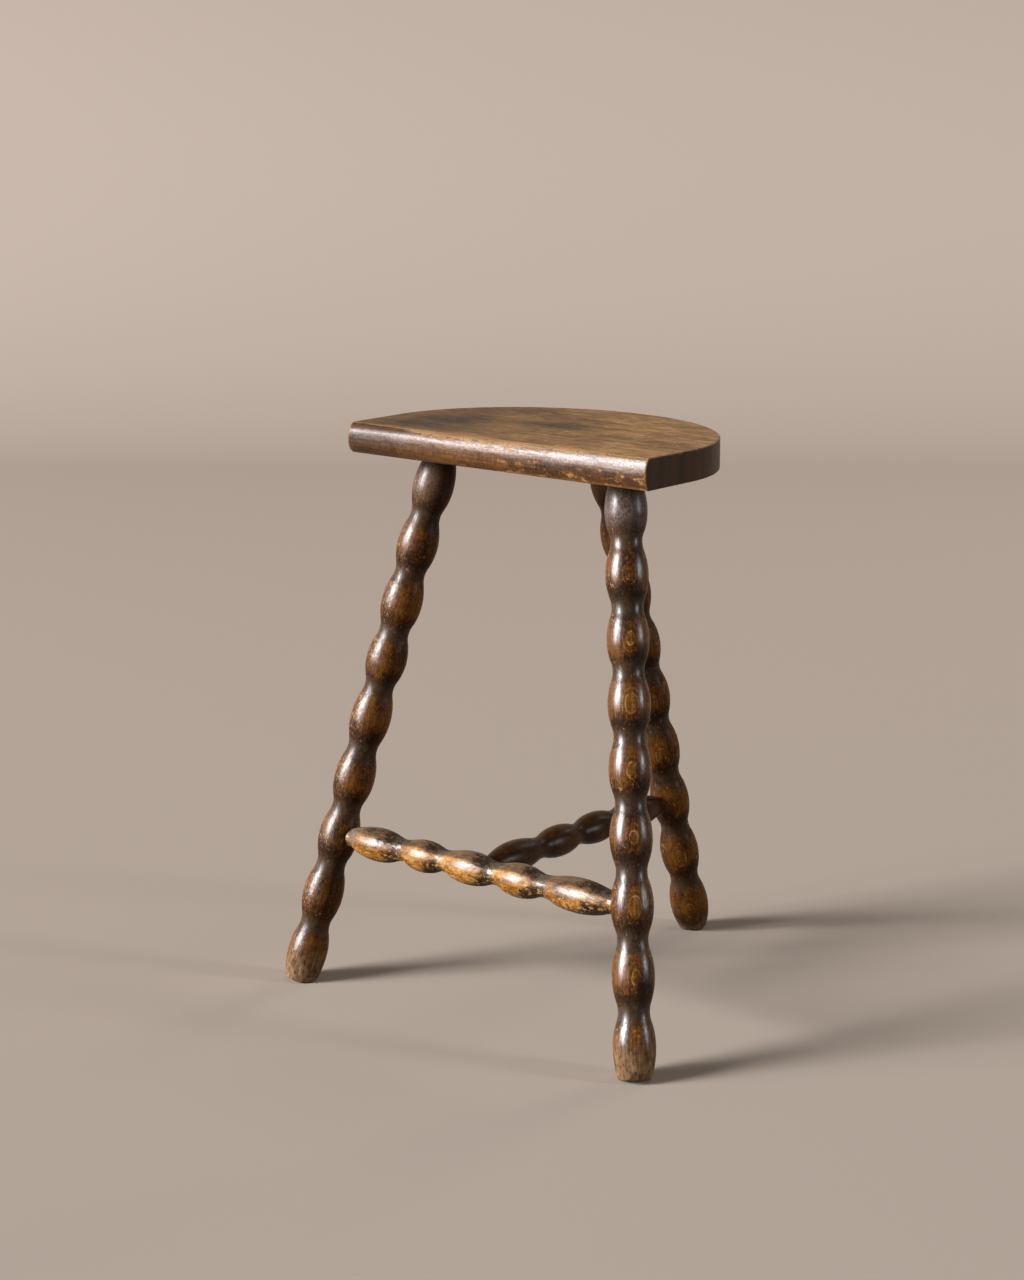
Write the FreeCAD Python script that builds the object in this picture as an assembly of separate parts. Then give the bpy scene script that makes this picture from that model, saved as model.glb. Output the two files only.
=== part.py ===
import FreeCAD, Part
import math
import os

# Tripod stool: a D-shaped board on three bobbin-turned legs, which two turned stretchers tie together.
# Millimetres, +Z up. X runs along the board's straight front edge and Y towards its bowed back.

# Seat board
seat_height = 460.0        # floor to the top of the board
seat_width = 292.0         # along the straight front edge
seat_depth = 180.0         # straight front edge to the back of the bow
seat_thickness = 24.5
seat_return = 55.0         # straight run of each end before the bow begins
nose_bulge = 5.0           # how far the rounded front edge stands out at half its height
nose_top_round = 4.0       # worn arris along the top of the front edge
nose_bottom_round = 1.5    # arris along the bottom of the front edge
edge_round = 1.2           # arris round the ends and the bow

# Where the legs meet the board and the floor
leg_end_inset = 55.0       # front legs' tops, in from the ends of the board
leg_front_inset = 45.0     # front legs' tops, back from the front edge
leg_back_inset = 43.0      # rear leg's top, in from the back of the bow
front_feet_spread = 345.0  # between the centres of the two front feet
front_foot_reach = 44.0    # front feet, ahead of the front edge
rear_foot_reach = 90.0     # rear foot, behind the bow

# Bobbin turning of a leg
leg_bulbs = 9
bulb_radius = 16.3
neck_radius = 11.9
hollow_share = 0.28        # part of each curve from neck to crest that is hollow, the rest swells
top_bulb_length = 52.0     # board to the first neck, along the leg
bulb_growth = 1.012        # length of each bulb over that of the bulb above it, from the second on
foot_length = 50.5         # last neck to the floor, along the leg
front_foot_radius = 12.8   # where the last bulb of a front leg is sawn off
rear_foot_radius = 10.8    # where the last bulb of the rear leg is sawn off
foot_lift = 0.8            # middle of the sawn end above the floor; its inner side is worn level
foot_round = 0.8           # worn arris round the sawn end

# Round tenon at the top of a leg
leg_tenon_radius = 11.7
seat_cover = 4.0           # wood left above each socket in the board

# Bobbin turning of the stretchers
stretcher_bulb = 7         # bulb of each leg, from the top, that takes a stretcher
stretcher_radius = 12.9
stretcher_neck_radius = 8.9
front_bulb_lengths = (54.0, 43.0, 53.0, 48.0, 65.0)   # from the left; turned by eye, so not alike
cross_bulb_lengths = (61.0, 49.0, 49.0, 61.0)         # from the front

# Round tenons at the ends of the stretchers
front_tenon_radius = 8.0
cross_tenon_radius = 7.0
leg_socket_depth = 14.0    # from the crest of a leg's bulb
bar_socket_depth = 12.0    # from the crest of the front stretcher's middle bulb

# Fit of every tenon in its socket
glue_gap = 0.15            # round the tenon
glue_pocket = 1.0          # beyond its end

Vector = FreeCAD.Vector
turning_axis = Vector(0, 0, 1)
underside = seat_height - seat_thickness


def bend(place, radius, curve, start, finish):
    """Arc of a turned profile that lies level at (place, radius). A positive curve is a hollow, a
    negative one a swell; start and finish are angles from the level point, along the axis."""
    def point(angle):
        return Vector(radius + curve * (1 - math.cos(angle)), 0, place + abs(curve) * math.sin(angle))
    return Part.Arc(point(start), point((start + finish) / 2), point(finish)).toShape()


def ogee(first, second):
    """Two tangent arcs between two level points, hollow at the thin one and swelling at the thick one."""
    length = second[0] - first[0]
    rise = second[1] - first[1]
    both_radii = (length ** 2 + rise ** 2) / (2 * abs(rise))
    hollow = hollow_share * both_radii
    swell = both_radii - hollow
    turn = math.asin(length / both_radii)
    curves = (hollow, -swell) if rise > 0 else (-swell, hollow)
    return [bend(*first, curves[0], 0, turn), bend(*second, curves[1], -turn, 0)]


def ogees(points):
    """The curves through a row of necks and crests."""
    edges = []
    for first, second in zip(points, points[1:]):
        edges += ogee(first, second)
    return edges


def swell_curve(length, drop):
    """Radius of the arc that leaves a crest level and falls by drop over a length."""
    return (length ** 2 + drop ** 2) / (2 * drop)


def turned(edges, start, finish):
    """Turns a profile on its axis and lays the axis from start towards finish."""
    first = edges[0].Vertexes[0].Point
    last = edges[-1].Vertexes[-1].Point
    foot_of_first = Vector(0, 0, first.z)
    foot_of_last = Vector(0, 0, last.z)
    closing = [
        Part.makeLine(last, foot_of_last),
        Part.makeLine(foot_of_last, foot_of_first),
        Part.makeLine(foot_of_first, first),
    ]
    solid = Part.Face(Part.Wire(edges + closing)).revolve(Vector(), turning_axis, 360)
    solid.Placement = FreeCAD.Placement(start, FreeCAD.Rotation(turning_axis, finish - start))
    return solid


def level(radius, start, finish):
    """Straight stretch of a turned profile."""
    return Part.makeLine(Vector(radius, 0, start), Vector(radius, 0, finish))


class LegLine:
    """Axis of a leg, from the board's underside to the floor, with what is set out along it."""

    def __init__(self, top, foot, foot_radius):
        self.top = top
        self.foot = foot
        self.foot_radius = foot_radius
        self.length = (foot - top).Length
        self.direction = (foot - top) / self.length
        self.rake = self.direction.getAngle(Vector(0, 0, -1))
        # All of the tenon is clear of the slanted board from here on.
        self.tenon_foot = leg_tenon_radius * math.tan(self.rake)
        shares = [bulb_growth ** index for index in range(leg_bulbs - 2)]
        unit = (self.length - top_bulb_length - foot_length) / sum(shares)
        self.necks = [top_bulb_length]
        for share in shares:
            self.necks.append(self.necks[-1] + unit * share)
        limits = [self.tenon_foot] + self.necks + [self.length]
        self.crests = [(start + finish) / 2 for start, finish in zip(limits, limits[1:])]
        # A slanted socket reaches highest at one corner of its end.
        corner_rise = (leg_tenon_radius + glue_gap) * math.sin(self.rake)
        self.socket_depth = (seat_thickness - seat_cover - corner_rise) / math.cos(self.rake)
        self.stretcher_point = top + self.direction * self.crests[stretcher_bulb - 1]

    def seat_socket(self):
        mouth = self.top + self.direction * bulb_radius
        depth = self.socket_depth + bulb_radius
        return Part.makeCylinder(leg_tenon_radius + glue_gap, depth, mouth, -self.direction)


def seat_board(legs):
    """Board with a D-shaped plan and a rounded front edge, bored from below for the legs."""
    half_width = seat_width / 2
    front = -nose_bulge
    quarter_weight = math.sqrt(0.5)   # makes a curve on three poles a quarter of an ellipse

    def bow(start, corner, finish):
        curve = Part.BezierCurve()
        curve.setPoles([start, corner, finish])
        curve.setWeight(2, quarter_weight)
        return curve.toShape()

    back = Vector(0, seat_depth, underside)
    right_turn = Vector(half_width, seat_return, underside)
    left_turn = Vector(-half_width, seat_return, underside)
    right_front = Vector(half_width, front, underside)
    left_front = Vector(-half_width, front, underside)
    outline = Part.Wire([
        Part.makeLine(left_front, right_front),
        Part.makeLine(right_front, right_turn),
        bow(right_turn, Vector(half_width, seat_depth, underside), back),
        bow(back, Vector(-half_width, seat_depth, underside), left_turn),
        Part.makeLine(left_turn, left_front),
    ])
    plan = Part.Face(outline).extrude(Vector(0, 0, seat_thickness))

    past_back = seat_depth + seat_thickness
    bottom_front = Vector(-half_width, 0, underside)
    top_front = Vector(-half_width, 0, seat_height)
    nose = Vector(-half_width, front, underside + seat_thickness / 2)
    top_back = Vector(-half_width, past_back, seat_height)
    bottom_back = Vector(-half_width, past_back, underside)
    section = Part.Wire([
        Part.Arc(bottom_front, nose, top_front).toShape(),
        Part.makeLine(top_front, top_back),
        Part.makeLine(top_back, bottom_back),
        Part.makeLine(bottom_back, bottom_front),
    ])
    plank = Part.Face(section).extrude(Vector(seat_width, 0, 0))
    for height, arris in ((seat_height, nose_top_round), (underside, nose_bottom_round)):
        middle = Vector(0, 0, height)
        front_edge = min(plank.Edges, key=lambda edge: edge.CenterOfMass.distanceToPoint(middle))
        plank = plank.makeFillet(arris, [front_edge])

    board = plank.common(plan).Solids[0]
    rim = [edge for edge in board.Edges if not along_one_axis(edge)] + straight_ends(board)
    board = board.makeFillet(edge_round, rim)
    for leg in legs:
        board = board.cut(leg.seat_socket())
    return board.Solids[0]


def along_one_axis(edge):
    """Whether an edge is straight and runs along X, Y or Z."""
    box = edge.BoundBox
    sides = sorted([box.XLength, box.YLength, box.ZLength])
    return sides[1] < edge_round / 10


def straight_ends(board):
    """The board's top and bottom edges along its two straight ends."""
    return [edge for edge in board.Edges if along_one_axis(edge) and edge.BoundBox.YLength > edge_round]


def leg_turning(line, sockets):
    """A leg: tenon, swelling top, a row of bulbs and necks, and a sawn foot worn level on the floor."""
    row = [(line.crests[0], bulb_radius)]
    for neck, crest in zip(line.necks, line.crests[1:]):
        row += [(neck, neck_radius), (crest, bulb_radius)]

    tenon_end = glue_pocket - line.socket_depth
    top_length = line.crests[0] - line.tenon_foot
    top_curve = swell_curve(top_length, bulb_radius - leg_tenon_radius)
    top_turn = math.asin(top_length / top_curve)
    sole_length = line.length - foot_lift - line.crests[-1]
    sole_curve = swell_curve(sole_length, bulb_radius - line.foot_radius)
    sole_turn = math.asin(sole_length / sole_curve)

    profile = [level(leg_tenon_radius, tenon_end, line.tenon_foot)]
    profile += [bend(*row[0], -top_curve, -top_turn, 0)]
    profile += ogees(row)
    profile += [bend(*row[-1], -sole_curve, 0, sole_turn)]
    leg = turned(profile, line.top, line.foot)
    sole_rim = min(leg.Edges, key=lambda edge: edge.BoundBox.ZMin)
    leg = leg.makeFillet(foot_round, [sole_rim])

    floor_side = 4 * bulb_radius
    below_floor = Part.makeBox(floor_side, floor_side, floor_side)
    below_floor.translate(line.foot - Vector(floor_side / 2, floor_side / 2, floor_side))
    leg = leg.cut(below_floor)
    for socket in sockets:
        leg = leg.cut(socket)
    return leg.Solids[0]


class Seating:
    """Where a stretcher is let into a round piece."""

    def __init__(self, point, axis, radius, depth):
        self.point = point     # on the round piece's axis
        self.axis = axis       # direction of that axis
        self.radius = radius   # of the round piece's crest there
        self.depth = depth     # of the socket, from the crest


class Stretcher:
    """Turned bar between two round pieces, with a tenon at each end. Its bulbs share out the length
    between the shoulders in the proportions of their own lengths."""

    def __init__(self, start, finish, tenon_radius, bulb_lengths):
        self.ends = (start, finish)
        self.tenon_radius = tenon_radius
        self.bulb_lengths = bulb_lengths
        self.length = (finish.point - start.point).Length
        self.direction = (finish.point - start.point) / self.length

    def clear_of(self, end):
        """How far from the other piece's axis the whole tenon has come out of that piece."""
        angle = self.direction.getAngle(end.axis)
        return end.radius / math.sin(angle) + self.tenon_radius * abs(math.cos(angle)) / math.sin(angle)

    def socket(self, index):
        """Blind hole in the other piece at one end, with its mouth outside that piece."""
        end = self.ends[index]
        inwards = self.direction * (1 if index else -1)
        mouth = end.point - inwards * 2 * end.radius
        return Part.makeCylinder(self.tenon_radius + glue_gap, end.radius + end.depth, mouth, inwards)

    def turning(self):
        tenon_starts = [end.radius - end.depth + glue_pocket for end in self.ends]
        shoulders = [self.clear_of(end) for end in self.ends]
        last_shoulder = self.length - shoulders[1]
        scale = (last_shoulder - shoulders[0]) / sum(self.bulb_lengths)
        limits = [shoulders[0]]
        for bulb_length in self.bulb_lengths:
            limits.append(limits[-1] + scale * bulb_length)
        crests = [(start + finish) / 2 for start, finish in zip(limits, limits[1:])]

        row = [(crests[0], stretcher_radius)]
        for neck, crest in zip(limits[1:], crests[1:]):
            row += [(neck, stretcher_neck_radius), (crest, stretcher_radius)]

        end_drop = stretcher_radius - self.tenon_radius
        first_length = crests[0] - limits[0]
        first_curve = swell_curve(first_length, end_drop)
        first_turn = math.asin(first_length / first_curve)
        last_length = limits[-1] - crests[-1]
        last_curve = swell_curve(last_length, end_drop)
        last_turn = math.asin(last_length / last_curve)

        profile = [level(self.tenon_radius, tenon_starts[0], limits[0])]
        profile += [bend(*row[0], -first_curve, -first_turn, 0)]
        profile += ogees(row)
        profile += [bend(*row[-1], -last_curve, 0, last_turn)]
        profile += [level(self.tenon_radius, limits[-1], self.length - tenon_starts[1])]
        return turned(profile, self.ends[0].point, self.ends[1].point)


# Legs
top_x = seat_width / 2 - leg_end_inset
foot_x = front_feet_spread / 2
left_top = Vector(-top_x, leg_front_inset, underside)
left_foot = Vector(-foot_x, -front_foot_reach, 0)
right_top = Vector(top_x, leg_front_inset, underside)
right_foot = Vector(foot_x, -front_foot_reach, 0)
rear_top = Vector(0, seat_depth - leg_back_inset, underside)
rear_foot = Vector(0, seat_depth + rear_foot_reach, 0)
left_line = LegLine(left_top, left_foot, front_foot_radius)
right_line = LegLine(right_top, right_foot, front_foot_radius)
rear_line = LegLine(rear_top, rear_foot, rear_foot_radius)

# Stretchers: one between the front legs, and one from its middle to the rear leg
left_end = Seating(left_line.stretcher_point, left_line.direction, bulb_radius, leg_socket_depth)
right_end = Seating(right_line.stretcher_point, right_line.direction, bulb_radius, leg_socket_depth)
front_bar = Stretcher(left_end, right_end, front_tenon_radius, front_bulb_lengths)
bar_middle = (left_line.stretcher_point + right_line.stretcher_point) / 2
middle_end = Seating(bar_middle, front_bar.direction, stretcher_radius, bar_socket_depth)
rear_end = Seating(rear_line.stretcher_point, rear_line.direction, bulb_radius, leg_socket_depth)
cross_bar = Stretcher(middle_end, rear_end, cross_tenon_radius, cross_bulb_lengths)

pieces = {
    "seat": seat_board([left_line, right_line, rear_line]),
    "left_leg": leg_turning(left_line, [front_bar.socket(0)]),
    "right_leg": leg_turning(right_line, [front_bar.socket(1)]),
    "rear_leg": leg_turning(rear_line, [cross_bar.socket(1)]),
    "front_stretcher": front_bar.turning().cut(cross_bar.socket(0)),
    "cross_stretcher": cross_bar.turning(),
}

# The origin lies on the floor, in the middle of the ground the stool takes up.
ground = Part.makeCompound(list(pieces.values())).optimalBoundingBox()
to_origin = Vector(0, -ground.Center.y, 0)

os.makedirs("parts", exist_ok=True)
for name, shape in pieces.items():
    shape.translate(to_origin)
    shape.exportStep("parts/" + name + ".step")
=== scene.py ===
import math
import random
from collections import namedtuple

import bpy
import numpy as np
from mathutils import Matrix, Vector, noise


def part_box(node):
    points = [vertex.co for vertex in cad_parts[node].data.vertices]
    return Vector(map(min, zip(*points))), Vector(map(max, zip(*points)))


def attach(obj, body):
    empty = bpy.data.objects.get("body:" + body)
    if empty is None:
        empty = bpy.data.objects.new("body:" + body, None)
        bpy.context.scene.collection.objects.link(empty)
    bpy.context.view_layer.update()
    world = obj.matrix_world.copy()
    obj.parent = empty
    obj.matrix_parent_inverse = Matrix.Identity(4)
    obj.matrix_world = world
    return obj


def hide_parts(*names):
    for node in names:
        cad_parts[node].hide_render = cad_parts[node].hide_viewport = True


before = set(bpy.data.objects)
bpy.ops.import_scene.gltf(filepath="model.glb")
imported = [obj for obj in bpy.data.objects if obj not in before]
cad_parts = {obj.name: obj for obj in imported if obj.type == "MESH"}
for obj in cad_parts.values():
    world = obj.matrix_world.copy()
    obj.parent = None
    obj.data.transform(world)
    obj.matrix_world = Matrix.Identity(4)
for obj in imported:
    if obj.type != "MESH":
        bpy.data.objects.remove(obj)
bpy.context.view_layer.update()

MM = 0.001
TINY = 1e-6
UP = np.array([0.0, 0.0, 1.0])

# Seat board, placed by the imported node
seat_low, seat_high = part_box("seat")
SEAT_TOP = seat_high.z
UNDERSIDE = seat_low.z
SEAT_HALF = seat_high.x
NOSE_BULGE = 5 * MM
NOSE_LEAN = 1.3 * MM  # by which the bulge is more at the left-hand end and less at the right
FRONT = seat_low.y + NOSE_BULGE
SEAT_DEPTH = seat_high.y - FRONT
SEAT_RETURN = 55 * MM  # straight part of the two ends
BOW_DEPTH = SEAT_DEPTH - SEAT_RETURN
NOSE_TOP_ROUND = 4 * MM
NOSE_BOTTOM_ROUND = 1.5 * MM
EDGE_ROUND = 1.2 * MM
CORNER_ROUND = 1.0 * MM

# Where the legs' axes meet the underside of the board and the floor
FRONT_LEG_TOP_X = 91 * MM
FRONT_LEG_TOP_Y = FRONT + 45 * MM
FRONT_LEG_FOOT_X = 172.5 * MM
FRONT_LEG_FOOT_Y = FRONT - 44 * MM
REAR_LEG_TOP_Y = FRONT + 137 * MM
REAR_LEG_FOOT_Y = FRONT + 270 * MM

# Bobbin turning of the legs
BULB = 16.3 * MM
NECK = 11.9 * MM
HOLLOW_SHARE = 0.28
TOP_BULB_LENGTH = 52 * MM
BULB_GROWTH = 1.012
FOOT_LENGTH = 50.5 * MM
FRONT_FOOT_RADIUS = 12.8 * MM
REAR_FOOT_RADIUS = 10.8 * MM
FOOT_LIFT = 0.8 * MM
FOOT_ROUND = 0.8 * MM
LEG_TENON = 11.7 * MM
LEG_HIDDEN = 3 * MM  # of the leg's top inside the board
LEG_BULBS = 9
STRETCHER_BULB = 7  # bulb that takes a stretcher, from the top

# Bobbin turning of the stretchers
BAR_BULB = 12.9 * MM
BAR_NECK = 8.9 * MM
FRONT_BULBS = (54, 43, 53, 48, 65)  # shares of the length, from the left
FRONT_SWELL = (0.9, 0.2, 0.7, 0.6, 0.8)  # mm by which the bulbs are stouter than the even ones of the frame
CROSS_BULBS = (61, 49, 49, 61)  # shares of the length, from the front
CROSS_SWELL = (0, 0, 0, 0)
FRONT_TENON = 8 * MM
CROSS_TENON = 7 * MM
TENON_IN_LEG = 13 * MM
TENON_IN_BAR = 11 * MM

# Marks of hand turning and use
LOPSIDED = 0.14 * MM
NECK_STRAY = 0.2 * MM
BULB_STRAY = 0.15 * MM
KNOCK_STRETCH = 1.6  # length of a knock along the piece, for a width of 1
LEG_KNOCKS = {"count": 26, "size": 2.6 * MM, "depth": 0.28 * MM}
FOOT_KNOCKS = {"count": 16, "size": 2.2 * MM, "depth": 0.4 * MM}
WORN_BAR_KNOCKS = {"count": 40, "size": 2.4 * MM, "depth": 0.45 * MM}
DARK_BAR_KNOCKS = {"count": 14, "size": 2.4 * MM, "depth": 0.25 * MM}
LEG_SPARED = 30 * MM  # top of a leg, without knocks
FOOT_ZONE = 30 * MM  # end of a leg, with more of them
BAR_SINK = 0.5 * MM  # by which the worn bar's bulbs lie lower
BOARD_WAVE = 0.12 * MM
NOSE_KNOCK = 0.10 * MM
NOSE_GRIT = 0.06 * MM
SIDE_UNEVEN = 0.0012  # share of the distance from the middle

# Fineness of the meshes
LEG_RINGS = 330
LEG_AROUND = 80
BAR_RINGS = 260
BAR_AROUND = 72
CAP_RINGS = 6  # steps from the middle of a flat end to its edge
FOOT_ROUND_RINGS = 4
TOP_LEVELS = 9
NOSE_LEVELS = 24
BOTTOM_LEVELS = 7
FRONT_STEPS = 190
CORNER_STEPS = 5
END_STEPS = 28
BOW_STEPS = 260
FLAT_STEPS = 44
FLAT_CROWDING = 1.1  # powers that crowd the points together at one end
END_CROWDING = 1.5

# Camera of the photograph
CAMERA_EYE = (1.3120, -1.6822, 0.7725)
CAMERA_AIM = (0.01038, -0.10343, 0.30354)
CAMERA_LENS = 76.51
CAMERA_SENSOR = 36


def unit(vector):
    vector = np.asarray(vector, float)
    return vector / np.linalg.norm(vector)


def smooth(value, low, high):
    """0 below low, 1 above high, and a smooth step between."""
    t = np.clip((value - low) / (high - low), 0, 1)
    return t * t * (3 - 2 * t)


def middles(limits):
    return (limits[:-1] + limits[1:]) / 2


def wander(points, scale, seed):
    """Smooth noise from -1 to 1 at each point, with features of about 1 / scale."""
    shift = Vector((seed * 3.71, seed * 5.13, seed * 1.97))
    return np.array([noise.noise(Vector(p) * scale + shift) for p in points])


def make_piece(name, points, faces, attributes):
    mesh = bpy.data.meshes.new(name)
    mesh.from_pydata([tuple(p) for p in points], [], faces)
    for key, values in attributes.items():
        many = np.ndim(values) == 2
        attribute = mesh.attributes.new(key, "FLOAT_VECTOR" if many else "FLOAT", "POINT")
        attribute.data.foreach_set("vector" if many else "value", np.asarray(values, np.float32).ravel())
    mesh.shade_smooth()
    piece = bpy.data.objects.new(name, mesh)
    bpy.context.scene.collection.objects.link(piece)
    return piece


def closed_stack(rings, around):
    """Faces of a stack of rings, closed at each end on a middle point; those two points come last."""
    faces = []
    for ring in range(rings - 1):
        low = ring * around
        high = low + around
        for here in range(around):
            there = (here + 1) % around
            faces.append((low + here, low + there, high + there, high + here))
    first = rings * around
    last = first + 1
    base = first - around
    for here in range(around):
        there = (here + 1) % around
        faces.append((first, there, here))
        faces.append((last, base + here, base + there))
    return faces


# Turned pieces

def swell(place, crest, radius, end, end_radius):
    """Radius on the arc that leaves a crest level and falls to end_radius at end."""
    length, drop = abs(end - crest), radius - end_radius
    curve = (length ** 2 + drop ** 2) / (2 * drop)
    return radius - curve + np.sqrt(np.maximum(curve ** 2 - (place - crest) ** 2, 0))


def ogee(place, first, second):
    """Radius between two level points: hollow at the thin one, swelling at the thick one."""
    thin, thick = sorted((first, second), key=lambda knot: knot[1])
    length, rise = abs(thick[0] - thin[0]), thick[1] - thin[1]
    both = (length ** 2 + rise ** 2) / (2 * rise)
    hollow, round_ = HOLLOW_SHARE * both, (1 - HOLLOW_SHARE) * both
    from_thin, from_thick = np.abs(place - thin[0]), np.abs(place - thick[0])
    low = thin[1] + hollow - np.sqrt(np.maximum(hollow ** 2 - from_thin ** 2, 0))
    high = thick[1] - round_ + np.sqrt(np.maximum(round_ ** 2 - from_thick ** 2, 0))
    return np.where(from_thin < HOLLOW_SHARE * length, low, high)


def bobbin(place, row, start, finish):
    """Radius along a row of crests and necks, with the swells that end it at start and finish."""
    radius = swell(place, *row[0], *start)
    for first, second in zip(row, row[1:]):
        radius = np.where(place > first[0], ogee(place, first, second), radius)
    return np.where(place > row[-1][0], swell(place, *row[-1], *finish), radius)


class Turning:
    """A turned piece's axis, and two directions square to it: `face` looks out of the growth layers."""

    def __init__(self, start, finish, face):
        self.start = np.asarray(start, float)
        self.length = np.linalg.norm(np.subtract(finish, start))
        self.along = unit(np.subtract(finish, start))
        face = np.asarray(face, float)
        self.face = unit(face - self.along * (face @ self.along))
        self.side = np.cross(self.along, self.face)

    def at(self, place):
        return self.start + self.along * place

    def world(self, local):
        return self.start + local @ np.array([self.face, self.side, self.along])

    def angle_of(self, direction):
        return math.atan2(direction @ self.side, direction @ self.face)


# Zones of the bulbs, from a bulb's number and how far a point is through it, -1 to 1

def lower_side(number, bulb):
    """1 round the necks and on the lower side of each bulb, 0 on its upper side."""
    return smooth(bulb, -0.05, 0.85) + 1 - smooth(bulb, -1.0, -0.45)


def under_side(number, bulb):
    """1 where a leg's bulb narrows downwards, 0 elsewhere."""
    return smooth(bulb, -0.1, 0.35) - smooth(bulb, 0.75, 0.95)


def right_half(number, bulb):
    """1 on the right-hand half of each bulb of a bar, and half as much in the necks; it darkens that side,
    away from the light, with painted shade.
    """
    return smooth(bulb, -0.1, 0.7) + 0.5 * (1 - smooth(bulb, -1.0, -0.7)) - 0.5 * smooth(bulb, 0.8, 1.0)


def left_end(number, bulb):
    """1 at the left-hand end of a bar's first bulb."""
    return (number == 0) * (1 - smooth(bulb, -0.75, -0.3))


def turned_mesh(name, axis, places, radii, limits, zones, relief, around, on_floor=False):
    """Mesh turned on an axis, closed by flat ends. relief(local, angle) gives the radial offset.

    The attribute `wood` keeps each point's own place, and `number` its bulb between the limits. Each of the
    zones is one more attribute.
    """
    shares = np.linspace(0, 1, CAP_RINGS, endpoint=False)[1:]
    level = np.ones(len(shares))
    places = np.concatenate([places[0] * level, places, places[-1] * level])
    radii = np.concatenate([radii[0] * shares, radii, radii[-1] * shares[::-1]])
    angles = np.linspace(0, 2 * math.pi, around, endpoint=False)
    circle = np.stack([np.cos(angles), np.sin(angles)], 1)
    plain = np.empty((len(places), around, 3))
    plain[:, :, :2] = radii[:, None, None] * circle[None]
    plain[:, :, 2] = places[:, None]
    plain = plain.reshape(-1, 3)
    radius = np.linalg.norm(plain[:, :2], axis=1)
    shaped = plain.copy()
    shaped[:, :2] *= (1 + relief(plain, np.tile(angles, len(places))) / np.maximum(radius, TINY))[:, None]
    ends = np.array([[0, 0, places[0]], [0, 0, places[-1]]])
    points = axis.world(np.vstack([shaped, ends]))
    if on_floor:
        points[:, 2] = np.maximum(points[:, 2], 0)
    local = np.vstack([plain, ends])
    number = np.clip(np.searchsorted(limits, local[:, 2]) - 1, 0, len(limits) - 2)
    through = (local[:, 2] - limits[number]) / (limits[number + 1] - limits[number])
    bulb = 2 * np.clip(through, 0, 1) - 1
    attributes = {"wood": local, "number": number}
    for key, zone in zones.items():
        attributes[key] = zone(number, bulb)
    return make_piece(name, points, closed_stack(len(places), around), attributes)


def lopsided(local, scale, seed):
    """Offset of hand turning, twice as long along the axis as round it."""
    return LOPSIDED * wander(local * (1, 1, 0.5), scale, seed)


def knocks(seed, low, high, count, size, depth):
    """Small knocks scattered over a turned piece from low to high: (place, angle, size, depth)."""
    dice = random.Random(seed)
    marks = []
    for _ in range(count):
        place = dice.uniform(low, high)
        angle = dice.uniform(-math.pi, math.pi)
        marks.append((place, angle, dice.uniform(0.5, 1) * size, dice.uniform(0.3, 1) * depth))
    return marks


def knocked(local, turn, marks):
    """Offset of the knocks at each point."""
    offset = np.zeros(len(local))
    radius = np.linalg.norm(local[:, :2], axis=1)
    for place, angle, size, depth in marks:
        apart = (turn - angle + math.pi) % (2 * math.pi) - math.pi
        near = ((local[:, 2] - place) / (KNOCK_STRETCH * size)) ** 2 + (apart * radius / size) ** 2
        offset -= depth * np.exp(-near)
    return offset


class Leg(Turning):
    """One leg, laid out as in the frame. drift says by how many mm each of its necks strays when turned."""

    def __init__(self, top, foot, foot_radius, facing, drift, seed):
        azimuth = math.radians(facing)
        super().__init__(top, foot, (math.sin(azimuth), -math.cos(azimuth), 0))
        self.foot_radius = foot_radius
        self.drift = np.array(drift) * MM
        self.seed = seed
        rake = math.acos(-self.along[2])
        self.tenon_foot = LEG_TENON * math.tan(rake)
        shares = [BULB_GROWTH ** index for index in range(LEG_BULBS - 2)]
        step = (self.length - TOP_BULB_LENGTH - FOOT_LENGTH) / sum(shares)
        self.necks = TOP_BULB_LENGTH + step * np.cumsum([0] + shares)
        crests = middles(self.limits(self.necks))
        self.stretcher_point = self.at(crests[STRETCHER_BULB - 1])

    def limits(self, necks):
        return np.concatenate([[self.tenon_foot], necks, [self.length]])

    def piece(self, name):
        dice = random.Random(self.seed)
        necks = self.necks + self.drift
        limits = self.limits(necks)
        crests = middles(limits)
        row = [(crests[0], BULB)]
        for neck, crest in zip(necks, crests[1:]):
            row.append((neck, NECK + dice.uniform(-NECK_STRAY, NECK_STRAY)))
            row.append((crest, BULB + dice.uniform(-BULB_STRAY, BULB_STRAY)))
        sole = self.length - FOOT_LIFT
        places = np.linspace(-LEG_HIDDEN, sole, LEG_RINGS)
        radii = bobbin(places, row, (self.tenon_foot, LEG_TENON), (sole, self.foot_radius))
        radii = np.where(places < self.tenon_foot, LEG_TENON, radii)
        rounding = np.linspace(0, math.pi / 2, FOOT_ROUND_RINGS + 1)[1:]
        places = np.concatenate([places[:-1], sole - FOOT_ROUND * (1 - np.sin(rounding))])
        radii = np.concatenate([radii[:-1], self.foot_radius - FOOT_ROUND * (1 - np.cos(rounding))])
        marks = knocks(self.seed, LEG_SPARED, self.length, **LEG_KNOCKS)
        marks += knocks(self.seed + 1, self.length - FOOT_ZONE, self.length, **FOOT_KNOCKS)

        def relief(local, turn):
            return lopsided(local, 55, self.seed) + knocked(local, turn, marks)

        zones = {"lower": lower_side, "under": under_side}
        return turned_mesh(name, self, places, radii, limits, zones, relief, LEG_AROUND, on_floor=True)


# Where a bar goes into another piece: a point on its axis, the axis, its radius, and the tenon's depth
Socket = namedtuple("Socket", "point axis radius depth")


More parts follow.
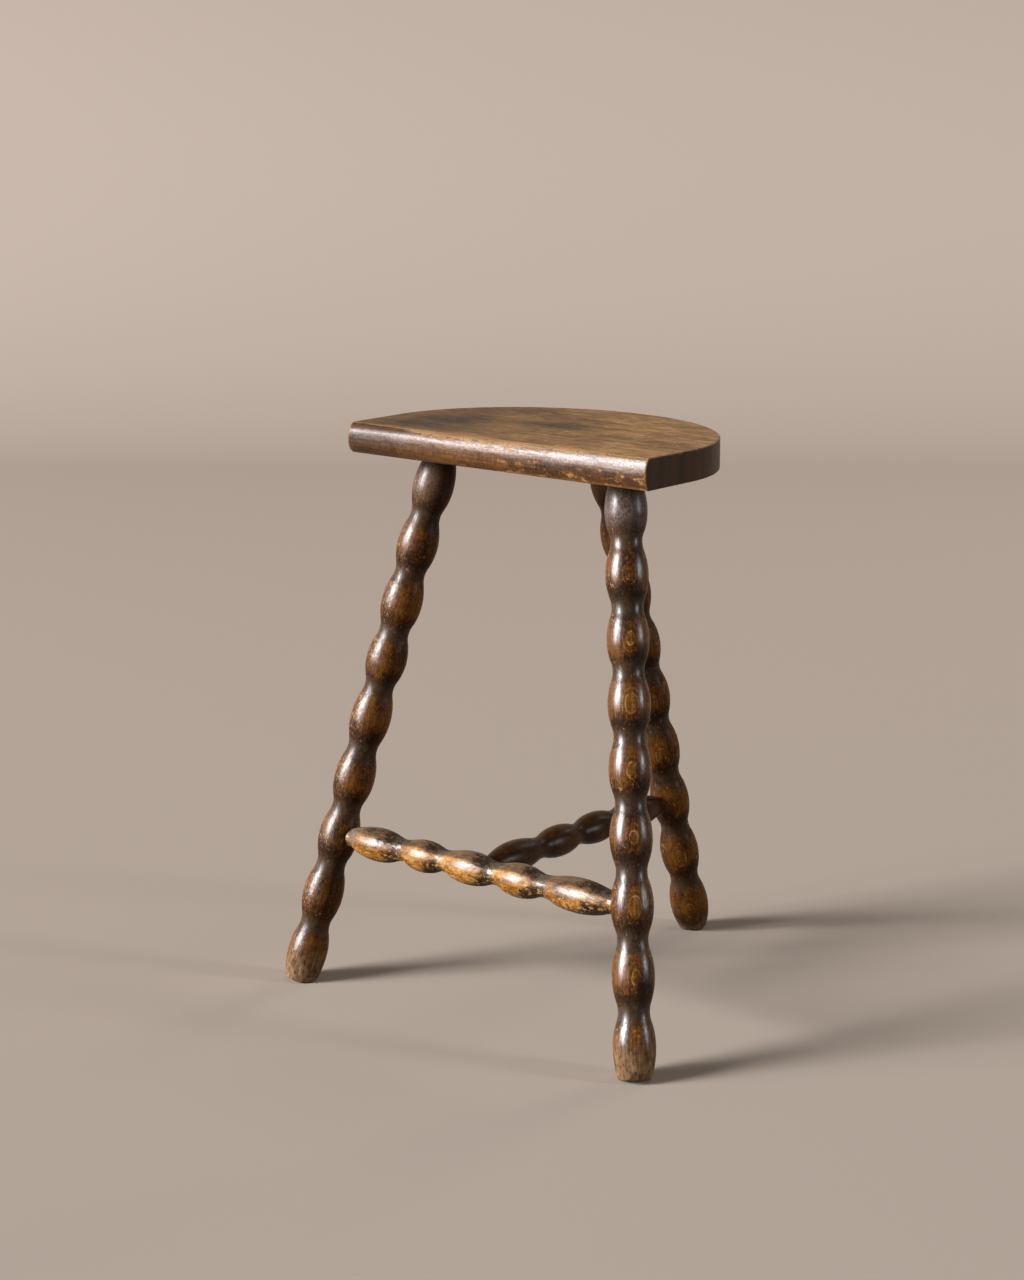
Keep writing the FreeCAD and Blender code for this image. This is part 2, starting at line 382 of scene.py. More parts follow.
class Bar(Turning):
    """One stretcher between two sockets."""

    def __init__(self, start, finish, tenon, bulb_lengths, swells, face, seed):
        super().__init__(start.point, finish.point, face)
        self.tenon = tenon
        self.seed = seed
        self.ends = start.radius - start.depth, self.length - finish.radius + finish.depth
        first = self.clear_of(start)
        last = self.length - self.clear_of(finish)
        scale = (last - first) / sum(bulb_lengths)
        self.limits = first + scale * np.cumsum((0,) + bulb_lengths)
        crests = middles(self.limits)
        self.row = [(crests[0], BAR_BULB + swells[0] * MM)]
        for neck, crest, more in zip(self.limits[1:], crests[1:], swells[1:]):
            self.row += [(neck, BAR_NECK), (crest, BAR_BULB + more * MM)]

    def clear_of(self, socket):
        """How far along the bar its tenon is clear of the other piece all round."""
        angle = math.acos(np.clip(self.along @ socket.axis, -1, 1))
        return (socket.radius + self.tenon * abs(math.cos(angle))) / math.sin(angle)

    def piece(self, name, worn):
        places = np.linspace(*self.ends, BAR_RINGS)
        first, last = self.limits[0], self.limits[-1]
        radii = bobbin(places, self.row, (first, self.tenon), (last, self.tenon))
        radii = np.where((places < first) | (places > last), self.tenon, radii)
        marks = knocks(self.seed, *self.ends, **(WORN_BAR_KNOCKS if worn else DARK_BAR_KNOCKS))
        up = self.angle_of(UP)

        def relief(local, turn):
            offset = lopsided(local, 60, self.seed) + knocked(local, turn, marks)
            if worn:
                radius = np.linalg.norm(local[:, :2], axis=1)
                trodden = smooth(np.cos(turn - up), 0.55, 1.0) * smooth(radius, 9 * MM, 12 * MM)
                offset -= trodden * (0.35 + 0.25 * wander(local, 45, self.seed + 4)) * MM
                offset -= BAR_SINK * np.cos(turn - up) * smooth(radius, 8.5 * MM, 12 * MM)
            return offset

        zones = {"right_half": right_half, "left_end": left_end}
        return turned_mesh(name, self, places, radii, self.limits, zones, relief, BAR_AROUND)


# Seat board

ON_FRONT, ON_CORNER, ON_SIDE = 0, 1, 2
FAR = 1.0  # distance of what is near no edge


def nose_profile(x):
    """(y, z) of the front edge at each x, from the top of its upper arris to its lower one's bottom."""
    share = ((x + SEAT_HALF) / (2 * SEAT_HALF))[:, None]
    line = np.stack([x, 0 * x, 0 * x], 1)
    worn = 1 + 0.25 * wander(line, 38, seed=3) + 0.12 * wander(line, 160, seed=4)
    top_round = (NOSE_TOP_ROUND * worn)[:, None]
    low_round = NOSE_BOTTOM_ROUND
    bulge = NOSE_BULGE + NOSE_LEAN * (1 - 2 * share)
    half = (SEAT_TOP - UNDERSIDE) / 2
    middle = (SEAT_TOP + UNDERSIDE) / 2
    curve = (half ** 2 + bulge ** 2) / (2 * bulge)
    centre = FRONT - bulge + curve
    top_y = centre - np.sqrt((curve - top_round) ** 2 - (half - top_round) ** 2)
    low_y = centre - np.sqrt((curve - low_round) ** 2 - (half - low_round) ** 2)
    top_turn = np.arctan2(half - top_round, top_y - centre)
    low_turn = np.arctan2(low_round - half, low_y - centre) % (2 * math.pi)

    def arc(y, z, radius, start, finish, levels, endpoint=False):
        turn = start + np.linspace(0, 1, levels, endpoint=endpoint)[None] * (finish - start)
        return y + radius * np.cos(turn), z + radius * np.sin(turn)

    arcs = [
        arc(top_y, SEAT_TOP - top_round, top_round, math.pi / 2, top_turn, TOP_LEVELS),
        arc(centre, middle, curve, top_turn, low_turn, NOSE_LEVELS),
        arc(low_y, UNDERSIDE + low_round, low_round, low_turn, 1.5 * math.pi, BOTTOM_LEVELS, endpoint=True),
    ]
    y = np.concatenate([arc_y for arc_y, _ in arcs], 1)
    z = np.concatenate([arc_z for _, arc_z in arcs], 1)
    # Squarer than one arc, most at the left-hand end
    away = np.abs(z - middle) / half
    squarer = bulge * (1 - 0.7 * share)
    return y - squarer * (away ** 2 - away ** 3), z


def bow_points():
    """Plan of the bow from its right end to its left end, with outward directions."""
    turn = np.linspace(0, math.pi, BOW_STEPS + 1)
    for _ in range(30):  # even steps along the curve
        x, y = SEAT_HALF * np.cos(turn), BOW_DEPTH * np.sin(turn)
        run = np.concatenate([[0], np.cumsum(np.hypot(np.diff(x), np.diff(y)))])
        turn = np.interp(np.linspace(0, run[-1], BOW_STEPS + 1), run, turn)
    x, y = SEAT_HALF * np.cos(turn), BOW_DEPTH * np.sin(turn)
    out = np.stack([x / SEAT_HALF ** 2, y / BOW_DEPTH ** 2], 1)
    out /= np.linalg.norm(out, axis=1)[:, None]
    return np.stack([x, y + FRONT + SEAT_RETURN], 1), out


def edge_levels():
    """Inset and height of the ends and the bow at each level, from the top down."""
    top = np.linspace(0, math.pi / 2, TOP_LEVELS, endpoint=False)
    low = np.linspace(0, math.pi / 2, BOTTOM_LEVELS)
    upright = np.linspace(SEAT_TOP - EDGE_ROUND, UNDERSIDE + EDGE_ROUND, NOSE_LEVELS, endpoint=False)
    inset = [EDGE_ROUND * (1 - np.sin(top)), 0 * upright, EDGE_ROUND * (1 - np.cos(low))]
    upper = SEAT_TOP - EDGE_ROUND * (1 - np.cos(top))
    lower = UNDERSIDE + EDGE_ROUND * (1 - np.sin(low))
    return np.concatenate(inset), np.concatenate([upper, upright, lower])


def end_points(edge, nose_y, nose_z, height):
    """The right-hand end at one level, from its rounded front corner to the bow. The heights of the front
    edge ease into those of the bow."""
    points = []
    start_y = nose_y + CORNER_ROUND
    for step in range(1, CORNER_STEPS):
        turn = step / CORNER_STEPS * math.pi / 2
        y = start_y - CORNER_ROUND * math.cos(turn)
        points.append((edge - CORNER_ROUND * (1 - math.sin(turn)), y, nose_z))
    run = FRONT + SEAT_RETURN - start_y
    for step in range(END_STEPS):
        share = (step / END_STEPS) ** END_CROWDING
        ease = min(1, share * 12)
        points.append((edge, start_y + run * share, nose_z + (height - nose_z) * ease))
    return np.array(points)


def edge_rings():
    """Rings round the board's edge, from the top down, and where each point of a ring lies."""
    x = np.linspace(-SEAT_HALF + CORNER_ROUND, SEAT_HALF - CORNER_ROUND, FRONT_STEPS + 1)
    nose_y, nose_z = nose_profile(x)
    bow, out = bow_points()
    rings = []
    for level, (inset, height) in enumerate(zip(*edge_levels())):
        edge = SEAT_HALF - inset
        front_x = x * (edge - CORNER_ROUND) / (SEAT_HALF - CORNER_ROUND)
        front = np.column_stack([front_x, nose_y[:, level], nose_z[:, level]])
        right = end_points(edge, *front[-1, 1:], height)
        left = end_points(edge, *front[0, 1:], height) * (-1, 1, 1)
        curved = np.column_stack([bow - out * inset, np.full(len(bow), height)])
        rings.append(np.vstack([front, right, curved, left[::-1]]))
    corner = [ON_CORNER] * (CORNER_STEPS - 1)
    kinds = [ON_FRONT] * len(x) + corner + [ON_SIDE] * (2 * END_STEPS + len(bow)) + corner
    return rings, kinds


def inner_rings(ring, middle, shares):
    """Rings of a flat face, which close in on its middle."""
    rings = [middle * (1 - share) + ring * share for share in shares]
    for inner in rings:
        inner[:, 2] = middle[2]
    return rings


def seat_piece(name):
    edge, kinds = edge_rings()
    middle_y = FRONT + 0.45 * SEAT_DEPTH
    # The flat faces close in on a hub each
    hubs = np.array([(0, middle_y, SEAT_TOP), (0, middle_y, UNDERSIDE)])
    shares = np.linspace(1, 0, FLAT_STEPS)[1:-1] ** FLAT_CROWDING
    top = inner_rings(edge[0], hubs[0], shares[::-1])
    stack = top + edge + inner_rings(edge[-1], hubs[1], shares[::3])
    points = np.vstack(stack + [hubs])
    # These rings run the other way round than those of a turned piece
    faces = [(face[0], *face[:0:-1]) for face in closed_stack(len(stack), len(kinds))]

    # How far each point lies from the worn edges, and where it is
    rim = edge[TOP_LEVELS // 2]
    to_rim = np.concatenate([np.linalg.norm(ring - rim, axis=1) for ring in stack] + [[FAR, FAR]])
    to_corner = np.full(len(points), FAR)
    for at in (0, FRONT_STEPS):
        line = np.array([ring[at] for ring in edge])
        gap = np.linalg.norm(points[:, None, :] - line[None], axis=2).min(1)
        to_corner = np.minimum(to_corner, gap)
    kind = np.concatenate([np.tile(kinds, len(stack)), [ON_SIDE, ON_SIDE]])
    level = np.concatenate([np.repeat(np.arange(len(stack)), len(kinds)), [0, len(stack) - 1]]) - len(top)
    on_rim = (level >= TOP_LEVELS // 2) & (level < len(edge) - BOTTOM_LEVELS // 2)
    nose = on_rim & (kind == ON_FRONT)
    side = on_rim & (kind == ON_SIDE)

    # Waves of the top, knocks on the front edge, and unevenness of the ends and the bow
    waves = BOARD_WAVE * (wander(points, 26, seed=9) - 1)
    points[:, 2] += np.where(points[:, 2] > SEAT_TOP - 0.5 * MM, waves, 0)
    knock = NOSE_KNOCK * wander(points, 120, seed=12) + NOSE_GRIT * wander(points, 420, seed=13)
    points[:, 1] += np.where(nose, knock, 0)
    uneven = SIDE_UNEVEN * wander(points * (1, 1, 0.3), 60, seed=15)
    points[:, :2] *= 1 + np.where(side, uneven, 0)[:, None]
    return make_piece(name, points, faces, {
        "wood": points,
        "front_arris": np.where(kind == ON_SIDE, FAR, to_rim),
        "rim_arris": np.where(kind == ON_FRONT, FAR, to_rim),
        "corner_edge": to_corner,
        "nose": nose,
        "side": side,
    })


# Materials

SHADE = 0.585  # on every colour of the wood


class Nodes:
    """A material's node tree, with short ways to add nodes."""

    def __init__(self, name):
        self.material = bpy.data.materials.new(name)
        self.material.use_nodes = True
        self.tree = self.material.node_tree
        self.shader = self.tree.nodes["Principled BSDF"].inputs

    def put(self, sockets, values):
        for key, value in values.items():
            if isinstance(value, bpy.types.NodeSocket):
                self.tree.links.new(value, sockets[key])
            else:
                sockets[key].default_value = value

    def add(self, kind, outlet, inputs, **settings):
        node = self.tree.nodes.new(kind)
        for key, value in settings.items():
            setattr(node, key, value)
        self.put(node.inputs, inputs)
        return node.outputs[outlet]

    def math(self, operation, *values):
        return self.add("ShaderNodeMath", 0, dict(enumerate(values)), operation=operation)

    def span(self, value, low, high, to_low=0.0, to_high=1.0):
        """A smooth step from to_low, below low, to to_high, above high."""
        inputs = {"Value": value, "From Min": low, "From Max": high, "To Min": to_low, "To Max": to_high}
        return self.add("ShaderNodeMapRange", "Result", inputs, interpolation_type="SMOOTHSTEP", clamp=True)

    def fold(self, operation, values):
        result, *others = values
        for value in others:
            result = self.math(operation, result, value)
        return result

    def most(self, *values):
        return self.fold("MAXIMUM", values)

    def product(self, *terms):
        """Product of values and of spans, which are given as what span takes."""
        values = [self.span(*term) if isinstance(term, tuple) else term for term in terms]
        return self.fold("MULTIPLY", values)

    def mix(self, first, second, *factors, blend="MIX"):
        """The first colour with as much of the second as the product of the factors says."""
        inputs = {0: self.product(*factors)}
        for key, colour in ((6, first), (7, second)):
            inputs[key] = (*colour, 1.0) if isinstance(colour, tuple) else colour
        return self.add("ShaderNodeMix", 2, inputs, data_type="RGBA", blend_type=blend, clamp_factor=True)


class Wood(Nodes):
    """A wood, with coordinates in metres in the piece's own frame."""

    def __init__(self, name, shift):
        super().__init__(name)
        self.raw = self.attribute("wood", "Vector")
        self.place = self.vector("ADD", self.raw, (shift, shift * 0.7, shift * 1.3))
        parts = self.tree.nodes.new("ShaderNodeSeparateXYZ")
        self.put(parts.inputs, {0: self.raw})
        self.x, self.y, self.z = parts.outputs

    def attribute(self, name, outlet="Fac"):
        return self.add("ShaderNodeAttribute", outlet, {}, attribute_name=name)

    def vector(self, operation, *values):
        outlet = "Value" if operation == "LENGTH" else "Vector"
        return self.add("ShaderNodeVectorMath", outlet, dict(enumerate(values)), operation=operation)

    def noise(self, scales, detail, roughness=0.55, distortion=0.0):
        """Noise from 0 to 1 with features of about 1 / scale metres along each axis. detail is the number
        of finer layers, and roughness what they count."""
        vector = self.vector("MULTIPLY", self.place, scales)
        inputs = {"Vector": vector, "Scale": 1.0, "Detail": detail, "Roughness": roughness}
        return self.add("ShaderNodeTexNoise", "Fac", {**inputs, "Distortion": distortion})

    def crazing(self, scales):
        """Distance from the edges of irregular cells."""
        inputs = {"Vector": self.vector("MULTIPLY", self.place, scales), "Scale": 1.0}
        return self.add("ShaderNodeTexVoronoi", "Distance", inputs, feature="DISTANCE_TO_EDGE")

    def ramp(self, value, stops):
        node = self.tree.nodes.new("ShaderNodeValToRGB")
        self.put(node.inputs, {0: value})
        marks = node.color_ramp.elements
        while len(marks) < len(stops):
            marks.new(0.5)
        for mark, (position, colour) in zip(marks, stops.items()):
            mark.position = position
            mark.color = (*colour, 1.0)
        return node.outputs["Color"]

    def total(self, *terms):
        """Sum of values, (weight, value), and (weight, value, low, high), which takes the value's span."""
        def weighted(weight, value, *limits):
            return self.math("MULTIPLY", self.span(value, *limits) if limits else value, weight)

        return self.fold("ADD", [weighted(*term) if isinstance(term, tuple) else term for term in terms])

    def bump(self, *layers):
        """Stacks (height, depth in mm) layers into one normal."""
        normal = None
        for height, depth in layers:
            inputs = {"Height": height, "Distance": depth * MM, "Strength": 1.0}
            if normal is not None:
                inputs["Normal"] = normal
            normal = self.add("ShaderNodeBump", "Normal", inputs)
        self.put(self.shader, {"Normal": normal})

    def finish(self, colour, roughness, specular, coat=0.0, coat_roughness=0.36, coat_ior=1.5):
        shaded = self.mix(colour, (SHADE, SHADE, SHADE), 1.0, blend="MULTIPLY")
        self.put(self.shader, {
            "Base Color": shaded, "Roughness": roughness, "Specular IOR Level": specular,
            "Coat Weight": coat, "Coat Roughness": coat_roughness, "Coat IOR": coat_ior,
        })
        return self.material


class TurnedWood(Wood):
    """The wood of a turned piece, whose axis is z, with the radius at each point."""

    def __init__(self, name, shift):
        super().__init__(name, shift)
        self.radius = self.reach(self.x, self.y)

    def reach(self, x, y):
        return self.vector("LENGTH", self.add("ShaderNodeCombineXYZ", 0, {0: x, 1: y}))

    def facing(self, angle):
        """1 on the side at an angle round the axis, -1 on the side away from it."""
        across = self.total((math.cos(angle), self.x), (math.sin(angle), self.y))
        return self.math("DIVIDE", across, self.radius)


# Wood of the legs

STAINED = {
    0.00: (0.520, 0.290, 0.090),
    0.20: (0.248, 0.094, 0.011),
    0.45: (0.114, 0.0375, 0.0030),
    0.70: (0.046, 0.0175, 0.0038),
    1.00: (0.0170, 0.0100, 0.0062),
}
BLOOM = {0.38: (0.064, 0.043, 0.033), 0.50: (0.150, 0.109, 0.088), 0.60: (0.250, 0.194, 0.160)}
BARE_FOOT = {0.39: (0.510, 0.335, 0.190), 0.51: (0.300, 0.172, 0.085), 0.63: (0.080, 0.042, 0.019)}
LEG_CHIP = (0.420, 0.260, 0.110)
LEG_DUST = (0.170, 0.108, 0.064)
AWAY = unit((0.66, 0.75, 0))  # from the light

PITH = 70 * MM  # from the leg's axis to the middle of the tree
OVAL_LEAST = 0.25 * MM  # how deep the bulbs cut into the growth layer that shows as an oval
OVAL_MOST = 0.85 * MM
OVAL_DRIFT = 0.8 * MM
OVAL_RAGGED = 0.4 * MM


def ovals(wood, turn):
    """Growth layers cut through at the crest of each bulb: (inside the oval, thin lines round it)."""
    depth = wood.reach(wood.math("ADD", wood.x, PITH), wood.y)
    drift = wood.noise((60, 60, 34), 2)
    fine = wood.noise((300, 300, 140), 2)
    number = wood.attribute("number")
    share = wood.math("FRACT", wood.total((0.618, number), turn))
    level = -PITH - BULB + OVAL_LEAST - (OVAL_DRIFT + OVAL_RAGGED) / 2
    within = wood.total(
        depth, level, (OVAL_MOST - OVAL_LEAST, share), (OVAL_DRIFT, drift), (OVAL_RAGGED, fine))
    inside = wood.span(within, -0.02 * MM, 0.10 * MM)
    first = wood.span(wood.math("ABSOLUTE", within), 0.03 * MM, 0.11 * MM, 1.0, 0.0)
    second = wood.math("ABSOLUTE", wood.math("ADD", within, 0.75 * MM))
    second = wood.span(second, 0.04 * MM, 0.15 * MM, 0.6, 0.0)
    shown = wood.product((wood.x, 7 * MM, 11 * MM), (number, 0.3, 0.7))
    broken = wood.span(wood.noise((150, 150, 110), 2), 0.30, 0.44)
    return wood.product(inside, shown), wood.product(wood.most(first, second), broken, shown)


def leg_wood(name, leg, shift, grey, figure, flecks, gloss, gloss_blur, dull_gloss, foot_spared=0.0):
    """grey is the bloom under the board, figure and flecks the strength of the ovals and of the rays, gloss
    the polish left, gloss_blur its roughness, dull_gloss the polish on the side away from the light, and
    foot_spared by how much less of the foot is bare."""
    wood = TurnedWood(name, shift)
    sole = leg.length + foot_spared
    neck = wood.span(wood.radius, 12.0 * MM, 14.2 * MM, 1.0, 0.0)
    inside, lines = ovals(wood, shift + 0.25)
    fibre = wood.noise((650, 650, 40), 4, 0.6)
    speck = wood.noise((900, 900, 330), 3)
    pebble = wood.noise((900, 900, 800), 2, 0.5)
    patches = wood.noise((58, 58, 34), 3)
    mottle = wood.noise((260, 260, 170), 4, 0.62)
    tooling = wood.noise((45, 45, 1200), 3, 0.6)
    # Darker patches between the bulbs and on their lower sides
    darker_low = wood.total((0.50, patches), (0.42, mottle), (0.20, speck), (0.24, wood.attribute("lower")))
    darker_low = wood.span(darker_low, 0.54, 0.79)
    dots = wood.product((speck, 0.50, 0.62), wood.total(0.30, (0.70, darker_low)))
    gold = wood.total(0.25, (0.75, patches, 0.40, 0.60))
    gold = wood.product((speck, 0.34, 0.47, 1.0, 0.0), gold)
    # Rays show as pale flecks where the surface is square to the growth layers
    square = wood.span(wood.math("DIVIDE", wood.math("ABSOLUTE", wood.y), wood.radius), 0.60, 0.86)
    rays = wood.noise((300, 900, 560), 2, 0.5, distortion=0.4)
    rays = wood.product((rays, 0.52, 0.60), square, (patches, 0.38, 0.56))
    nuggets = wood.span(wood.noise((600, 600, 440), 3, 0.6), 0.55, 0.62)
    stain = wood.total(
        0.20,
        (0.16, patches, 0.36, 0.64), (0.46, darker_low), (0.22, dots), (-0.17, gold),
        (0.14, fibre, 0.38, 0.62), (0.10, tooling, 0.40, 0.64),
        (-0.34, wood.product(nuggets, darker_low)),
        (-0.13 * figure, inside), (-0.30 * figure, lines), (-flecks, rays),
    )
    colour = wood.ramp(stain, STAINED)
    # Chips in the polish
    chips = wood.noise((330, 330, 210), 3, 0.6)
    chips = wood.span(wood.total(chips, (0.03, darker_low)), 0.685, 0.72)
    colour = wood.mix(colour, LEG_CHIP, chips, 0.8)
    # Greyish bloom on the old polish under the board
    bloom = wood.span(wood.total(wood.z, (16 * MM, mottle)), 36 * MM, 56 * MM, grey, 0.0)
    pits = wood.total((0.65, pebble), (0.35, mottle))
    colour = wood.mix(colour, wood.ramp(pits, BLOOM), bloom)
    # Dust in the necks
    dust = wood.span(wood.total((0.5, mottle), (0.5, speck)), 0.38, 0.58, 0.0, 0.42)
    colour = wood.mix(colour, LEG_DUST, neck, dust)
    # Polish worn off at the foot
    edge = wood.total(wood.z, (26 * MM, wood.noise((70, 70, 60), 4)), (8 * MM, mottle))
    bare = wood.span(edge, sole - 19 * MM, sole + 9 * MM)
    raw = wood.ramp(wood.total((0.6, mottle), (0.4, fibre)), BARE_FOOT)
    colour = wood.mix(colour, raw, bare, 0.9)
    polish = wood.product(
        (darker_low, 0.4, 1.0, 1.0, 0.6),
        (bare, 0.0, 0.8, 1.0, 0.1),
        (bloom, 0.0, 1.0, 1.0, 0.5),
        (wood.attribute("under"), 0.0, 1.0, 1.0, 0.45),
        (wood.total((0.6, fibre), (0.4, speck)), 0.42, 0.58, 1.0, 0.5),
        (wood.facing(leg.angle_of(AWAY)), -0.75, 0.2, gloss, dull_gloss),
    )
    roughness = wood.total(0.42, (0.10, speck), (0.15, bare))
    wood.bump(
        (fibre, 0.03), (speck, 0.016), (mottle, 0.025), (tooling, 0.005),
        (wood.product(bloom, pits), 0.10))
    return wood.finish(
        colour, roughness, specular=0.06, coat=polish, coat_roughness=gloss_blur, coat_ior=1.72)


# Wood of the stretchers

GOLDEN = {
    0.00: (0.800, 0.450, 0.120),
    0.22: (0.550, 0.240, 0.032),
    0.50: (0.270, 0.098, 0.010),
    0.78: (0.090, 0.033, 0.006),
    1.00: (0.020, 0.010, 0.005),
}
SMOKY = {0.38: (0.030, 0.017, 0.009), 0.49: (0.118, 0.068, 0.033), 0.61: (0.290, 0.180, 0.095)}
# Dark old stain, which also serves as painted shade on the right-hand halves of the worn bar's bulbs
OLD_STAIN_AND_SHADE = {0.38: (0.012, 0.008, 0.005), 0.54: (0.034, 0.020, 0.011), 0.66: (0.110, 0.066, 0.034)}
BAR_CHIP = (0.660, 0.400, 0.150)
BAR_DUST = (0.270, 0.205, 0.150)
MOST_RUBBED = 144 * MM  # along the bar


def dark_bar_wood(name):
    wood = TurnedWood(name, 4.3)
    crest = wood.span(wood.radius, 9.2 * MM, 12.8 * MM)
    fibre = wood.noise((480, 480, 30), 4, 0.6)
    speck = wood.noise((1100, 1100, 700), 2, 0.5)
    patches = wood.noise((70, 70, 40), 3)
    mottle = wood.noise((260, 260, 150), 4, 0.62)
    scratches = wood.noise((1500, 1500, 26), 2, 0.5)
    stain = wood.total(
        0.52,
        (-0.16, wood.product(crest, (patches, 0.40, 0.62))),
        (0.16, mottle, 0.40, 0.62), (0.10, speck, 0.44, 0.60),
        (0.14, fibre, 0.36, 0.64),
    )
    colour = wood.ramp(stain, STAINED)
    roughness = wood.total(0.26, (0.12, speck), (0.06, patches))
    wood.bump((fibre, 0.04), (scratches, 0.05), (speck, 0.03))
    return wood.finish(colour, roughness, specular=0.14)


def worn_bar_wood(name, up_angle):
    wood = TurnedWood(name, 7.9)
    right = wood.attribute("right_half")
    neck = wood.span(wood.radius, 9.0 * MM, 11.0 * MM, 1.0, 0.0)
    downwards = wood.facing(up_angle + math.pi)
    behind = wood.span(wood.facing(up_angle - 0.25), 0.20, 0.76)
    below = wood.span(downwards, -0.35, 0.50)
    beneath = wood.span(downwards, 0.62, 0.95)
    from_middle = wood.math("ABSOLUTE", wood.math("SUBTRACT", wood.z, MOST_RUBBED))
    middle = wood.span(from_middle, 25 * MM, 80 * MM, 1.0, 0.0)
    fibre = wood.noise((420, 420, 30), 4, 0.6)
    speck = wood.noise((760, 760, 500), 2, 0.5)
    patches = wood.noise((80, 80, 52), 3)
    mottle = wood.noise((230, 230, 140), 5, 0.66)
    flakes = wood.noise((400, 400, 240), 4, 0.64)
    streaks = wood.noise((620, 620, 70), 4, 0.62)
    stain = wood.total(
        0.06,
        (-0.17, middle), (0.20, fibre, 0.38, 0.62), (0.22, speck, 0.42, 0.58),
        (0.24, patches, 0.38, 0.62), (0.20, mottle, 0.42, 0.62),
    )
    golden = wood.ramp(stain, GOLDEN)
    # Dull brown behind and beneath, streaked along the bar, with some painted shade towards the right-hand
    # half of each bulb
    smoky = wood.ramp(wood.total((0.6, streaks), (0.4, flakes)), SMOKY)
    smoke = wood.total((0.9, behind), (0.5, patches), (0.3, mottle), (0.25, right))
    smoke = wood.span(smoke, 0.62, 1.05)
    colour = wood.mix(golden, smoky, smoke, 0.85)
    colour = wood.mix(colour, smoky, beneath, 0.85)
    # Dark stain left where shoes don't rub, in the necks, with painted shade towards the right-hand side of
    # each bulb, which faces away from the light
    stain_and_shade = wood.total(
        (0.30, patches), (0.40, mottle), (0.38, flakes), (0.04, behind), (0.05, right), (0.05, neck),
        (0.22, wood.product(right, wood.total((0.8, below), (0.5, behind)))), (-0.02, middle))
    residue_and_shade = wood.span(stain_and_shade, 0.595, 0.69)
    colour = wood.mix(colour, wood.ramp(streaks, OLD_STAIN_AND_SHADE), residue_and_shade, 0.92)
    # Grey bare wood and dust in the necks and at the left-hand end
    dust = wood.product(
        wood.total((0.45, neck), (0.9, wood.attribute("left_end"))),
        (below, 0.0, 1.0, 1.0, 0.25),
        (wood.total((0.6, mottle), (0.4, flakes)), 0.40, 0.58),
    )
    colour = wood.mix(colour, BAR_DUST, dust)
    # Pale chips, most of them on the lower part of the front
    chips = wood.span(wood.total(flakes, (0.08, below)), 0.605, 0.665)
    chips = wood.product(chips, (wood.most(behind, beneath), 0.0, 0.7, 0.8, 0.1))
    colour = wood.mix(colour, BAR_CHIP, chips)
    dull = wood.total((0.6, residue_and_shade), (0.5, dust), (0.95, below), (0.3, smoke))
    polish = wood.product(
        (dull, 0.0, 0.9, 1.0, 0.05),
        (wood.total((0.5, streaks), (0.5, flakes)), 0.42, 0.58, 1.0, 0.42),
    )
    roughness = wood.total(0.40, (0.10, residue_and_shade), (0.20, dust))
    wood.bump((fibre, 0.03), (residue_and_shade, 0.03), (flakes, 0.045), (mottle, 0.05))
    return wood.finish(colour, roughness, specular=0.1, coat=polish, coat_roughness=0.41, coat_ior=1.85)


# Wood of the board

BOARD_TOP = {
    0.00: (0.680, 0.390, 0.160),
    0.25: (0.540, 0.296, 0.110),
    0.42: (0.366, 0.190, 0.066),
    0.62: (0.218, 0.114, 0.041),
    0.85: (0.090, 0.051, 0.023),
    1.00: (0.038, 0.024, 0.013),
}
BOARD_FRONT = {
    0.00: (0.520, 0.290, 0.105),
    0.20: (0.270, 0.110, 0.024),
    0.45: (0.140, 0.053, 0.010),
    0.70: (0.054, 0.021, 0.005),
    1.00: (0.014, 0.008, 0.004),
}
BOARD_SIDE = {0.34: (0.100, 0.037, 0.006), 0.50: (0.056, 0.020, 0.003), 0.66: (0.027, 0.010, 0.002)}
RUBBED_BARE = {0.38: (0.68, 0.42, 0.210), 0.62: (0.38, 0.200, 0.080)}
CRACK = (0.05, 0.025, 0.012)

# Dark stains on the top: strength, then middle and half-lengths along x and y in mm
TOP_STAINS = (
    (0.32, (-7, -22), (48, 27)),
    (0.18, (60, -44), (28, 13)),
    (0.32, (-95, -60), (60, 60)),
    (0.10, (-105, -92), (50, 18)),
)


